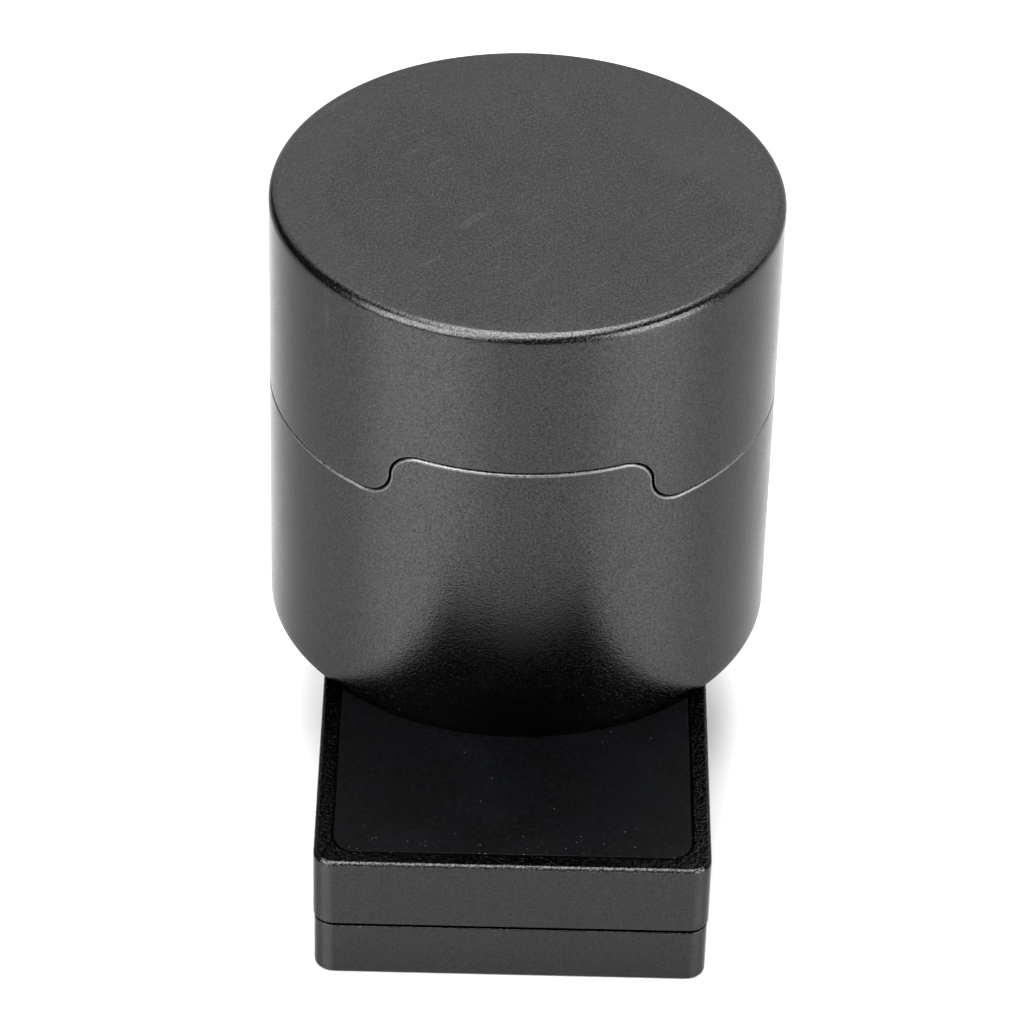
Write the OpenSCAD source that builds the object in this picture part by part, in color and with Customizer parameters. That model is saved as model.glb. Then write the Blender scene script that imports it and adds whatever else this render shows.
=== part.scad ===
// Survey prism in a capped canister on a two-shell foot.
// Millimetres. +Z is up along the canister, -Y is the front of the foot.
// The origin is the centre of the foot's underside.

/* [Prism] */
// Diameter of the corner-cube glass
glass_d = 38; // [30:0.5:48]
// Height of the glass's cylindrical rim at the middle of a facet
glass_rim = 1.7; // [1:0.1:3]
// Polished chamfer round the front face of the glass
glass_chamfer = 0.4; // [0.2:0.1:0.6]
// Radial play between the glass and its cell
glass_gap = 0.3; // [0.1:0.05:0.6]
// Clearance between the glass's facets and the moulded seat
facet_gap = 0.15; // [0.05:0.05:0.4]
// Thickness of the seat below the tip of the glass
seat_web = 1.0; // [0.8:0.1:2]
// Distance from the front face of the glass down to the top of the seat
seat_drop = 6.5; // [4:0.5:9]
// Thickness of the rubber ring that presses the seat forward
cushion_t = 1.0; // [0.6:0.1:2]

/* [Cell] */
// Wall of the cell round the glass
cell_wall = 2.9; // [2.6:0.1:4]
// Thickness of the cell's bottom ledge
cell_ledge = 3.5; // [3:0.1:5]
// Width of the ledge under the seat
ledge_w = 5; // [4:0.5:7]
// Radial play between the cell and both casings
cell_gap = 0.3; // [0.2:0.05:0.5]
// Depth of the front thread cut into the cell's wall
thread_relief = 1.3; // [0.8:0.1:1.6]
// Height of the open hood above the retaining ring
hood_h = 3.7; // [2:0.1:6]
// Lead-in chamfer at the cell's mouth
cell_chamfer = 0.6; // [0.3:0.1:0.8]
// Number of anti-glare grooves inside the hood
baffle_count = 3; // [1:1:4]
// Depth of an anti-glare groove
baffle_depth = 0.4; // [0.2:0.1:0.6]

/* [Retaining ring] */
// Height of the threaded ring that holds the glass
ring_h = 3; // [2:0.1:4]
// How far the ring covers the front face of the glass
ring_overlap = 1.1; // [0.8:0.1:2]
// Thickness of the gasket between ring and glass
gasket_t = 0.3; // [0.2:0.05:0.6]
// Width of a spanner slot
slot_w = 3; // [2:0.5:4]
// Depth of a spanner slot
slot_depth = 1.3; // [0.8:0.1:1.6]

/* [Casing] */
// Wall of the cap and of the canister
case_wall = 2.5; // [2:0.1:3.5]
// Floor of the canister
case_floor = 2.5; // [2:0.1:4]
// Roof of the cap
cap_roof = 2.5; // [2:0.1:4]
// Radius of the rounded edge round the roof
roof_edge_r = 0.9; // [0.5:0.1:1.5]
// Thickness of the soft liner under the roof
liner_t = 1.6; // [1:0.1:2.5]
// Gap between the hood and the liner
liner_gap = 0.3; // [0.2:0.1:0.8]

/* [Seam] */
// Height of the tongue that keys the cap
step_h = 5.7; // [4:0.1:7]
// Half width of the tongue where its side is upright
step_half = 12.5; // [8:0.5:14]
// Open gap along the seam between cap and canister
seam_gap = 0.18; // [0.1:0.01:0.3]
// Distance from the top of the tongue up to the middle of the cap seal
tongue_to_seal = 1.85; // [1.6:0.05:3]

/* [Cap seal] */
// Radius of the seal's round section
seal_r = 0.8; // [0.6:0.05:1]
// Side play of the seal in its groove
seal_side_gap = 0.2; // [0.1:0.05:0.4]
// Radial gap left between the pressed seal and the cap
seal_gap = 0.08; // [0.05:0.01:0.15]
// Distance from the front face of the glass down to the middle of the seal
seal_drop = 2.6; // [1.8:0.1:4]

/* [Foot] */
// Width of the foot
foot_w = 38; // [31.5:0.5:46]
// Length of the foot
foot_l = 88.5; // [73.5:0.5:110]
// Height of the foot
foot_h = 14; // [11.6:0.1:18]
// Height of the foot's parting line
foot_split = 6.2; // [5:0.1:7]
// Open gap along the foot's parting line
foot_gap = 0.4; // [0.15:0.05:0.5]
// Radius of the foot's upright corners
foot_r = 2; // [1.5:0.1:4]
// Outer walls of both foot shells
foot_wall = 2; // [1.5:0.1:3]
// Floor of the lower shell
foot_floor = 2; // [1.5:0.1:3]
// Deck of the upper shell under the inlay
deck_t = 3.15; // [2.5:0.05:4]
// How far the lower shell stands in from the upper one
lower_inset = 0.1; // [0:0.05:0.3]
// How far the gasket between the shells is set back from the outside
gasket_setback = 0.8; // [0.4:0.1:1.2]
// Radius of the posts and bosses that take the foot's screws
post_r = 2.8; // [2.4:0.1:3.5]
// Metal left between the tips of the foot screws and the inlay's recess
post_web = 2.8; // [1:0.1:4]

/* [Inlay] */
// Width of the metal border round the inlay
bezel = 1.7; // [1.4:0.1:3]
// Gap between the inlay and the border
inlay_gap = 0.2; // [0.1:0.05:0.4]
// Thickness of the inlay
inlay_t = 1; // [0.6:0.1:1.5]
// Corner radius of the inlay
inlay_r = 2.2; // [1.5:0.1:3]
// Thickness of the adhesive film under the inlay
tape_t = 0.15; // [0.1:0.05:0.3]

/* [Mounting thread] */
// Radius of the threaded bore's wall, as drilled for M8
thread_r = 3.4; // [2.5:0.05:4.3]
// Metal left above the blind end of the threaded bore
thread_web = 1.3; // [0.8:0.1:2]
// Outer radius of the bush
bush_r = 6; // [5.5:0.1:8]
// Distance across the flats of the bush's hexagon
bush_flats = 16; // [14:0.5:19]
// Thickness of the bush's hexagon
bush_flange_t = 2.2; // [1.5:0.1:3]
// How far the bush and the magnets sit back from the underside
underside_recess = 0.2; // [0.1:0.05:0.5]

/* [Magnets] */
// Outer radius of a pot magnet
pot_r = 10; // [7:0.5:12]
// Height of a pot magnet
pot_h = 6; // [4.5:0.1:6]
// Wall of the steel pot
pot_wall = 1.8; // [1.2:0.1:2.5]
// Gap filled with resin between the pot and the magnet
pot_resin_gap = 0.25; // [0.15:0.05:0.5]
// Play round a pot in the lower shell
pot_gap = 0.15; // [0.1:0.05:0.3]
// Wall of the collars that locate the pots and the bush
collar_wall = 1.4; // [1:0.1:2]
// How far a magnet screw reaches into the upper shell's boss
magnet_grip = 2; // [1.5:0.1:3]

/* [Hidden] */
$fn = 96;

// Small clearances and standard fasteners
eps = 0.01;              // overlap that lets a cut pass through a face
fit = 0.05;              // radial play of a dowel, a bush or a threaded pair
m3_r = 1.5;              // M3 shank
m3_head_r = 2.75;        // M3 cap head
m3_head_h = 3;
m3_socket = 2.5;         // M3 hexagon socket, across flats
m3_hole_r = 1.7;         // M3 clearance hole
m3_grip = 3;             // thread engagement of the cell screws
washer_r = 3;
washer_t = 0.5;
m3_head_flat = 2;        // hexagon socket of an M3 countersunk head
m25_r = 1.25;            // M2.5 shank
m25_head_r = 2.4;        // M2.5 countersunk head
m25_hole_r = 1.4;
m25_socket = 1.5;
dowel_r = 1;
dowel_web = 1.5;         // metal left in the deck below a dowel
tip_play = 0.3;          // room beyond the tip of a screw, and beside its head

// Radii of the canister, worked outwards from the glass
glass_r = glass_d / 2;
bore_r = glass_r + glass_gap;
cell_r = bore_r + cell_wall;
case_in_r = cell_r + cell_gap;
case_r = case_in_r + case_wall;
cell_thread_r = bore_r + thread_relief;
ring_in_r = glass_r - ring_overlap;
ledge_in_r = bore_r - ledge_w;

// Heights of the canister, worked upwards from the foot
cube_slope = 1 / sqrt(2);                       // inscribed radius of a corner cube over its height
glass_h = glass_r / cube_slope + glass_rim;
case_z = foot_h;
cell_z = case_z + case_floor;
ledge_z = cell_z + cell_ledge;
seat_z = ledge_z + cushion_t;
tip_z = seat_z + seat_web;
face_z = tip_z + glass_h;
ring_z = face_z + gasket_t;
hood_z = ring_z + ring_h;
mouth_z = hood_z + hood_h;
liner_z = mouth_z + liner_gap;
roof_z = liner_z + liner_t;
top_z = roof_z + cap_roof;
seal_z = face_z - seal_drop;
tongue_z = seal_z - tongue_to_seal;
seam_z = tongue_z - step_h;

// Foot levels and places
tape_z = foot_h - inlay_t - tape_t;
deck_z = tape_z - deck_t;
upper_z = foot_split + foot_gap / 2;
lower_top_z = foot_split - foot_gap / 2;
foot_in_x = foot_w / 2 - foot_wall;
foot_in_y = foot_l / 2 - foot_wall;
bush_hex_r = bush_flats / 2 / cos(30);
bush_top_z = deck_z - underside_recess;
thread_l = bush_top_z - thread_web - underside_recess;
screw_ring_r = (cell_r + ledge_in_r) / 2;       // circle that the cell screws stand on
screw_x = min(foot_in_x - washer_r - tip_play, screw_ring_r * cos(30));
cell_head_z = deck_z - washer_t;                // underside of the cell screws' heads
screw_y = sqrt(pow(screw_ring_r, 2) - pow(screw_x, 2));
dowel_z = deck_z + dowel_web;
pot_y = (bush_hex_r + foot_in_y) / 2;
pot_top_z = underside_recess + pot_h;
post_x = foot_in_x - post_r + fit;
post_y = foot_in_y - post_r + fit;
post_tip_z = tape_z - post_web;

// ---------- shared shapes ----------

// A ring or a disc between two heights
module tube(outer_r, inner_r, z0, z1) {
    translate([0, 0, z0])
        difference() {
            cylinder(h = z1 - z0, r = outer_r);
            if (inner_r > 0)
                translate([0, 0, -eps])
                    cylinder(h = z1 - z0 + 2 * eps, r = inner_r);
        }
}

// A round rod between two heights, also used to cut holes
module rod(r, z0, z1) {
    translate([0, 0, z0])
        cylinder(h = z1 - z0, r = r);
}

// A rectangle with round corners, given by its half sizes
module round_rect(half_x, half_y, r) {
    square([2 * half_x, 2 * (half_y - r)], center = true);
    square([2 * (half_x - r), 2 * half_y], center = true);
    for (sx = [-1, 1], sy = [-1, 1])
        translate([sx * (half_x - r), sy * (half_y - r)])
            circle(r = r);
}

// A slab with round upright corners
module slab(half_x, half_y, r, z0, z1) {
    translate([0, 0, z0])
        linear_extrude(height = z1 - z0)
            round_rect(half_x, half_y, r);
}

// Everything below the seam, with its two S-shaped steps, grown upwards and outwards by grow.
// The step's two arcs are equal and meet where its side is upright.
module below_seam_2d(grow) {
    arc = step_h / 2;
    reach = case_r + 1;
    translate([-reach, 0])
        square([2 * reach, seam_z + grow]);
    translate([0, seam_z]) {
        translate([-(step_half - arc), 0])
            square([2 * (step_half - arc), step_h + grow]);
        translate([-(step_half + grow), 0])
            square([2 * (step_half + grow), step_h - arc]);
        for (s = [-1, 1]) {
            translate([s * (step_half - arc), step_h - arc])
                circle(r = arc + grow);
            difference() {
                translate([s * (step_half + arc / 2), arc / 2])
                    square([arc, arc], center = true);
                translate([s * (step_half + arc), arc])
                    circle(r = arc - grow);
            }
        }
    }
}

// The same region as a solid that runs right through from front to back
module below_seam(grow) {
    rotate([90, 0, 0])
        linear_extrude(height = 2 * case_r + 4, center = true)
            below_seam_2d(grow);
}

// Repeats a child at the four cell screws
module at_cell_screws() {
    for (sx = [-1, 1], sy = [-1, 1])
        translate([sx * screw_x, sy * screw_y, 0])
            children();
}

// Repeats a child at the four foot screws
module at_foot_posts() {
    for (sx = [-1, 1], sy = [-1, 1])
        translate([sx * post_x, sy * post_y, 0])
            children();
}

// Repeats a child at the two pot magnets
module at_pots() {
    for (sy = [-1, 1])
        translate([0, sy * pot_y, 0])
            children();
}

// Repeats a child at the two dowels
module at_dowels() {
    for (sy = [-1, 1])
        translate([0, sy * screw_ring_r, 0])
            children();
}

// A corner cube standing on its tip at the height tip, as three faces of a large cube
module cube_corner(tip) {
    translate([0, 0, tip])
        rotate([0, -atan(sqrt(2)), 0])
            rotate([0, 0, -45])
                cube(4 * glass_r);
}

// A screw with a hexagon socket; the head's face is at z = 0 and the shank points up
module countersunk_screw(shank_r, head_r, length, socket) {
    difference() {
        union() {
            cylinder(h = head_r - shank_r, r1 = head_r, r2 = shank_r);
            cylinder(h = length, r = shank_r);
        }
        translate([0, 0, -eps])
            cylinder(h = (head_r - shank_r) * 0.9, r = socket / 2 / cos(30), $fn = 6);
    }
}

// ---------- cap ----------

module cap_shell() {
    color("#3a3b3d")
    difference() {
        rotate_extrude()
            union() {
                square([case_r - roof_edge_r, top_z]);
                square([case_r, top_z - roof_edge_r]);
                translate([case_r - roof_edge_r, top_z - roof_edge_r])
                    circle(r = roof_edge_r);
            }
        translate([0, 0, -eps])
            cylinder(h = roof_z + eps, r = case_in_r);
        below_seam(seam_gap);
    }
}

module cap_liner() {
    color("#1b1b1c")
    tube(case_in_r - cell_gap, 0, liner_z, roof_z);
}

// ---------- canister ----------

module can_shell() {
    color("#3a3b3d")
    difference() {
        intersection() {
            tube(case_r, 0, case_z, top_z);
            below_seam(0);
        }
        rod(case_in_r, cell_z, top_z + eps);
        at_cell_screws()
            rod(m3_hole_r, case_z - eps, cell_z + eps);
        at_dowels()
            rod(dowel_r + fit, case_z - eps, cell_z + eps);
    }
}

module prism_cell() {
    groove_half = seal_r + seal_side_gap;
    groove_r = case_in_r - seal_gap - 2 * seal_r;
    baffle_pitch = (hood_h - cell_chamfer) / (baffle_count + 1);
    color("#242526")
    difference() {
        rotate_extrude()
            polygon([
                [ledge_in_r, cell_z],
                [cell_r, cell_z],
                [cell_r, seal_z - groove_half],
                [groove_r, seal_z - groove_half],
                [groove_r, seal_z + groove_half],
                [cell_r, seal_z + groove_half],
                [cell_r, mouth_z - cell_chamfer],
                [cell_r - cell_chamfer, mouth_z],
                [cell_thread_r, mouth_z],
                [cell_thread_r, face_z],
                [bore_r, face_z],
                [bore_r, ledge_z],
                [ledge_in_r, ledge_z]
            ]);
        for (i = [1 : baffle_count])
            translate([0, 0, hood_z + i * baffle_pitch])
                cylinder(h = baffle_pitch / 2, r = cell_thread_r + baffle_depth, center = true);
        at_cell_screws()
            rod(m3_r + fit, cell_z - eps, cell_z + m3_grip);
        at_dowels()
            rod(dowel_r + fit, cell_z - eps, cell_z + m3_grip);
    }
}

module cap_seal() {
    color("#151515")
    translate([0, 0, seal_z])
        rotate_extrude()
            translate([case_in_r - seal_gap - seal_r, 0])
                circle(r = seal_r, $fn = 32);
}

// ---------- prism ----------

module prism_glass() {
    color("#b9d2d8")
    intersection() {
        rotate_extrude()
            polygon([
                [0, tip_z - eps],
                [glass_r, tip_z - eps],
                [glass_r, face_z - glass_chamfer],
                [glass_r - glass_chamfer, face_z],
                [0, face_z]
            ]);
        cube_corner(tip_z);
    }
}

module prism_seat() {
    color("#202021")
    difference() {
        tube(bore_r - fit, 0, seat_z, face_z - seat_drop);
        cube_corner(tip_z - facet_gap * sqrt(3));
    }
}

module seat_cushion() {
    color("#151515")
    tube(bore_r - glass_gap, ledge_in_r + glass_gap, ledge_z, seat_z);
}

module front_gasket() {
    color("#151515")
    tube(glass_r, ring_in_r, face_z, ring_z);
}

module retaining_ring() {
    bevel = ring_overlap * 0.7;
    color("#242526")
    difference() {
        rotate_extrude()
            polygon([
                [ring_in_r, ring_z],
                [cell_thread_r - fit, ring_z],
                [cell_thread_r - fit, hood_z],
                [ring_in_r + bevel, hood_z],
                [ring_in_r, hood_z - bevel]
            ]);
        for (a = [0, 90])
            rotate([0, 0, a])
                translate([0, 0, hood_z])
                    cube([2 * case_r, slot_w, 2 * slot_depth], center = true);
    }
}

// ---------- fasteners of the canister ----------

module cell_screws() {
    color("#8c8f92")
    at_cell_screws()
        difference() {
            union() {
                rod(m3_head_r, cell_head_z - m3_head_h, cell_head_z);
                rod(m3_r, cell_head_z - eps, cell_z + m3_grip - tip_play);
            }
            translate([0, 0, cell_head_z - m3_head_h - eps])
                cylinder(h = m3_head_h / 2, r = m3_socket / 2 / cos(30), $fn = 6);
        }
}

module cell_washers() {
    color("#8c8f92")
    at_cell_screws()
        tube(washer_r, m3_r + 2 * fit, deck_z - washer_t, deck_z);
}

module can_dowels() {
    color("#8c8f92")
    at_dowels()
        rod(dowel_r, dowel_z, cell_z + m3_grip - tip_play);
}

// ---------- foot ----------

module foot_top_shell() {
    color("#3a3b3d")
    difference() {
        union() {
            difference() {
                slab(foot_w / 2, foot_l / 2, foot_r, upper_z, foot_h);
                slab(foot_in_x, foot_in_y, foot_r / 2, upper_z - eps, deck_z);
            }
            intersection() {
                slab(foot_in_x + fit, foot_in_y + fit, foot_r / 2, upper_z, deck_z + eps);
                at_foot_posts()
                    rod(post_r, upper_z, deck_z + eps);
            }
            at_pots()
                rod(post_r, pot_top_z, deck_z + eps);
        }
        slab(foot_w / 2 - bezel, foot_l / 2 - bezel, inlay_r + inlay_gap, tape_z, foot_h + eps);
        at_foot_posts()
            rod(m25_r + fit, upper_z - eps, post_tip_z + tip_play);
        at_pots()
            rod(m3_r + fit, pot_top_z - eps, pot_top_z + magnet_grip + tip_play);
        at_cell_screws()
            rod(m3_hole_r, deck_z - eps, tape_z + eps);
        at_dowels()
            rod(dowel_r + fit, dowel_z - fit, tape_z + eps);
    }
}

// The holes that the inlay and its film share
module inlay_holes() {
    at_cell_screws()
        rod(m3_hole_r, tape_z - eps, foot_h + eps);
    at_dowels()
        rod(dowel_r + 2 * fit, tape_z - eps, foot_h + eps);
}

module foot_inlay() {
    color("#141517")
    difference() {
        slab(
            foot_w / 2 - bezel - inlay_gap, foot_l / 2 - bezel - inlay_gap, inlay_r,
            foot_h - inlay_t, foot_h
        );
        inlay_holes();
    }
}

module inlay_tape() {
    edge = 0.5; // the film stops short of the inlay's edge
    color("#c9c6b8")
    difference() {
        slab(
            foot_w / 2 - bezel - inlay_gap - edge, foot_l / 2 - bezel - inlay_gap - edge,
            inlay_r - edge, tape_z, tape_z + tape_t
        );
        inlay_holes();
    }
}

module foot_gasket() {
    color("#151515")
    difference() {
        slab(
            foot_w / 2 - gasket_setback, foot_l / 2 - gasket_setback, foot_r - gasket_setback,
            lower_top_z, upper_z
        );
        slab(foot_in_x, foot_in_y, foot_r / 2, lower_top_z - eps, upper_z + eps);
    }
}

module foot_bottom_shell() {
    color("#3a3b3d")
    difference() {
        union() {
            difference() {
                slab(
                    foot_w / 2 - lower_inset, foot_l / 2 - lower_inset, foot_r,
                    0, lower_top_z
                );
                slab(foot_in_x, foot_in_y, foot_r / 2, foot_floor, lower_top_z + eps);
            }
            intersection() {
                slab(foot_in_x + fit, foot_in_y + fit, foot_r / 2, 0, lower_top_z);
                union() {
                    at_foot_posts()
                        rod(post_r, 0, lower_top_z);
                    at_pots()
                        rod(pot_r + pot_gap + collar_wall, 0, pot_top_z - tip_play);
                }
            }
            // hexagonal wall that stops the bush turning
            translate([0, 0, foot_floor - eps])
                cylinder(h = bush_flange_t, r = bush_hex_r + collar_wall, $fn = 6);
        }
        rod(bush_r + fit, -eps, foot_floor + eps);
        translate([0, 0, foot_floor])
            cylinder(h = bush_flange_t + 1, r = bush_hex_r + fit, $fn = 6);
        at_pots()
            rod(pot_r + pot_gap, -eps, foot_h);
        at_foot_posts() {
            rod(m25_hole_r, -eps, lower_top_z + eps);
            translate([0, 0, -eps])
                cylinder(
                    h = m25_head_r - m25_r + fit + 2 * eps,
                    r1 = m25_head_r + fit + eps, r2 = m25_r + eps
                );
        }
    }
}

module mount_bush() {
    color("#9a9da0")
    difference() {
        union() {
            rod(bush_r, underside_recess, bush_top_z);
            translate([0, 0, foot_floor + fit])
                cylinder(h = bush_flange_t - 2 * fit, r = bush_hex_r - fit, $fn = 6);
        }
        rod(thread_r, underside_recess - eps, underside_recess + thread_l);
    }
}

// ---------- fasteners and magnets of the foot ----------

module foot_screws() {
    color("#8c8f92")
    at_foot_posts()
        translate([0, 0, fit])
            countersunk_screw(m25_r, m25_head_r, post_tip_z - fit, m25_socket);
}

module magnet_pots() {
    color("#a5a8ab")
    at_pots()
        difference() {
            rod(pot_r, underside_recess, pot_top_z);
            rod(pot_r - pot_wall, underside_recess - eps, pot_top_z - pot_wall);
            rod(m3_hole_r, underside_recess, pot_top_z + eps);
        }
}

module magnet_discs() {
    disc_top_z = pot_top_z - pot_wall;
    color("#c4c6c9")
    at_pots()
        difference() {
            tube(pot_r - pot_wall - pot_resin_gap, m3_hole_r, underside_recess, disc_top_z);
            translate([0, 0, underside_recess - eps])
                cylinder(
                    h = m3_head_r - m3_r + fit + 2 * eps,
                    r1 = m3_head_r + fit + eps, r2 = m3_r + eps
                );
        }
}

module magnet_screws() {
    color("#8c8f92")
    at_pots()
        translate([0, 0, underside_recess])
            countersunk_screw(m3_r, m3_head_r, pot_h + magnet_grip, m3_head_flat);
}

cap_shell();
cap_liner();
can_shell();
prism_cell();
cap_seal();
prism_glass();
prism_seat();
seat_cushion();
front_gasket();
retaining_ring();
cell_screws();
cell_washers();
can_dowels();
foot_top_shell();
foot_inlay();
inlay_tape();
foot_gasket();
foot_bottom_shell();
foot_screws();
mount_bush();
magnet_pots();
magnet_discs();
magnet_screws();
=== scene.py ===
"""Survey prism in a capped canister: the looks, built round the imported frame."""

import math
from bisect import bisect_right

import bmesh
import bpy
from bpy.props import BoolProperty, FloatProperty, FloatVectorProperty, IntProperty, PointerProperty
from mathutils import Matrix, Vector


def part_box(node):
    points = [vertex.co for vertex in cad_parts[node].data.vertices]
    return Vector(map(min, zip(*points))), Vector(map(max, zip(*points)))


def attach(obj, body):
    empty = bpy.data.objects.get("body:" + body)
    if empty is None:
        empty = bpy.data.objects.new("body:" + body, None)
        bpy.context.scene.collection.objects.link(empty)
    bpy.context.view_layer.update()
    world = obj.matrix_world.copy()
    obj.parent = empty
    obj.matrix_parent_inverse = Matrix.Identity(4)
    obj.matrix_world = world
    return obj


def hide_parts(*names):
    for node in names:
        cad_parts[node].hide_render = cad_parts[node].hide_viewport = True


bl_info = {
    "name": "Survey Prism",
    "version": (1, 0, 0),
    "blender": (4, 5, 0),
    "location": "3D View > Sidebar > Survey Prism",
    "description": "Builds a capped survey prism on its foot, with its finishes and its studio",
    "category": "Object",
}

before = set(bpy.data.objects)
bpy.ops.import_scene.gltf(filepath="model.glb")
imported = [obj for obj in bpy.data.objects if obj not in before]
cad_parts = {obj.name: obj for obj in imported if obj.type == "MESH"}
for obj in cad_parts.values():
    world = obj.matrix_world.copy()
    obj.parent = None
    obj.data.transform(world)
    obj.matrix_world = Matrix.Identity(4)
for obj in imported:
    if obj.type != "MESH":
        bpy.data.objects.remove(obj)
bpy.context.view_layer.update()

MM = 0.001
UP = Vector((0, 0, 1))
HALF_TURN = math.pi
FULL_TURN = 2 * math.pi

CAP_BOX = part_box("cap_shell")
CAN_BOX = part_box("can_shell")
LINER_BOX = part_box("cap_liner")
CELL_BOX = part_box("prism_cell")
GLASS_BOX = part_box("prism_glass")
INLAY_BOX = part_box("foot_inlay")
FOOT_TOP_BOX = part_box("foot_top_shell")
FOOT_BOTTOM_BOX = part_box("foot_bottom_shell")
POT_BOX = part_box("magnet_pots")
DISC_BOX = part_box("magnet_discs")


# ---------- settings ----------


def length(name, description, default, **more):
    """A size in metres."""
    return FloatProperty(name=name, description=description, default=default, min=0, unit="LENGTH", precision=5, **more)


def tint(name, description, default):
    """A linear colour."""
    return FloatVectorProperty(name=name, description=description, default=default, size=3, subtype="COLOR", min=0, max=1)


def share(name, description, default):
    """A number from 0 to 1."""
    return FloatProperty(name=name, description=description, default=default, min=0, max=1, subtype="FACTOR")


class CanisterSizes(bpy.types.PropertyGroup):
    """Sizes of the cap and the can that the frame's boxes don't give"""

    wall: length("Wall", "Wall of the cap and the can", 2.5 * MM)
    seam_gap: length("Seam gap", "Open gap between the cap and the can", 0.18 * MM)
    tongue_half: length("Tongue half width", "From the middle of the tongue to its upright side", 12.5 * MM)
    roof_edge: length("Roof edge", "Radius of the rounded edge round the roof", 1.0 * MM)
    cap_rim: length("Cap rim", "Radius of the edge round the cap's rim", 0.12 * MM)
    can_rim: length("Can rim", "Radius of the edge round the can's rim", 0.28 * MM)
    can_foot: length("Can foot", "Radius of the edge round the can's floor", 0.15 * MM)
    rim_band: length("Rim band", "Height over which the wall runs square to the seam", 1.2 * MM)
    blend_band: length("Blend band", "Height over which the wall's rows level out", 12 * MM)
    columns: IntProperty(name="Columns", description="Faces round the wall", default=480, min=48, max=960)


class FootSizes(bpy.types.PropertyGroup):
    """Sizes of the foot's edges"""

    top_edge: length("Top edge", "Radius of the edge round the foot's top", 0.38 * MM)
    recess_edge: length("Recess edge", "Radius of the edge round the inlay's recess", 0.12 * MM)
    upper_rim: length("Upper rim", "Radius of the upper casing's edge at the parting line", 0.06 * MM)
    lower_rim: length("Lower rim", "Radius of the lower casing's edge at the parting line", 0.12 * MM)
    ground_edge: length("Ground edge", "Radius of the edge round the underside", 0.3 * MM)
    inlay_corner: length("Inlay corner", "Corner radius of the inlay", 2.2 * MM)
    inlay_edge: length("Inlay edge", "Radius of the inlay's upper edge", 0.08 * MM)
    small_edge: length("Small edge", "Edge break on the small metal parts", 0.08 * MM)


class PrismSizes(bpy.types.PropertyGroup):
    """Sizes of the glass"""

    chamfer: length("Chamfer", "Polished chamfer round the front face", 0.4 * MM)
    silver: length("Silver", "Thickness of the silver on the facets", 0.03 * MM)
    facet_edge: length("Facet edge", "Width ground off the edges between the facets", 0.15 * MM)


class Finishes(bpy.types.PropertyGroup):
    """Colours and surface finishes"""

    anodised: tint("Anodised", "Dark grey anodised casing", (0.038, 0.038, 0.0384))
    grazing: tint("Grazing", "Tint of the casing's reflection at a grazing angle", (0.62, 0.62, 0.62))
    anodised_roughness: share("Casing roughness", "Roughness of the blasted casing", 0.18)
    grain: length("Grain", "Size of the blasted grain", 0.2 * MM)
    grain_depth: length("Grain depth", "Depth of the blasted grain", 0.0108 * MM)
    grain_contrast: share("Grain contrast", "How far the grain changes the casing's tone", 0.35)
    bare: tint("Bare metal", "Metal that shows where an edge has rubbed", (0.22, 0.22, 0.225))
    # Painted shade: the top face round the inlay and the foot's left and right top edges are painted at this share of
    # the casing's tone, standing in for the shade that falls there.
    border: share("Border painted shade", "Painted shade on the border round the inlay, against the casing's", 0.22)
    black: tint("Black", "Black anodised inner parts", (0.022, 0.022, 0.024))
    inlay: tint("Inlay", "Rubber of the inlay", (0.0005, 0.0006, 0.00078))
    dust: tint("Dust", "Dust on rubber", (0.16, 0.17, 0.18))
    rubber: tint("Rubber", "Seals and gaskets", (0.012, 0.012, 0.012))
    foam: tint("Foam", "Liner in the cap", (0.018, 0.018, 0.019))
    plastic: tint("Plastic", "Moulded seat", (0.025, 0.025, 0.027))
    steel: tint("Steel", "Screws, dowels and bush", (0.42, 0.43, 0.44))
    plating: tint("Plating", "Plated pots and magnets", (0.58, 0.58, 0.57))
    film: tint("Film", "Adhesive film", (0.5, 0.47, 0.38))
    silver: tint("Silver", "Silver behind the facets", (0.93, 0.93, 0.92))


class PanelSettings(bpy.types.PropertyGroup):
    """One soft light, seen from the object. Azimuth runs from the front to the right"""

    azimuth: FloatProperty(name="Azimuth", description="Turn from the front to the right", subtype="ANGLE")
    elevation: FloatProperty(name="Elevation", description="Angle above the horizon", subtype="ANGLE")
    distance: length("Distance", "From the object to the light", 1.0)
    width: length("Width", "Level side of the light", 0.5)
    height: length("Height", "Other side of the light", 0.5)
    brightness: FloatProperty(name="Brightness", description="Power that one square metre gives", min=0)
    round: BoolProperty(name="Round", description="An oval light", default=False)


PANELS = {
    "overhead": (172, 86, 1.0, 0.66, 1.4, 37),
    "left": (-45, 37, 0.9, 0.68, 0.8, 35),
    "right": (56, 22, 0.9, 0.62, 0.6, 34),
    "back": (165, 29, 1.3, 3.0, 1.4, 6.2),
}


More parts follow.
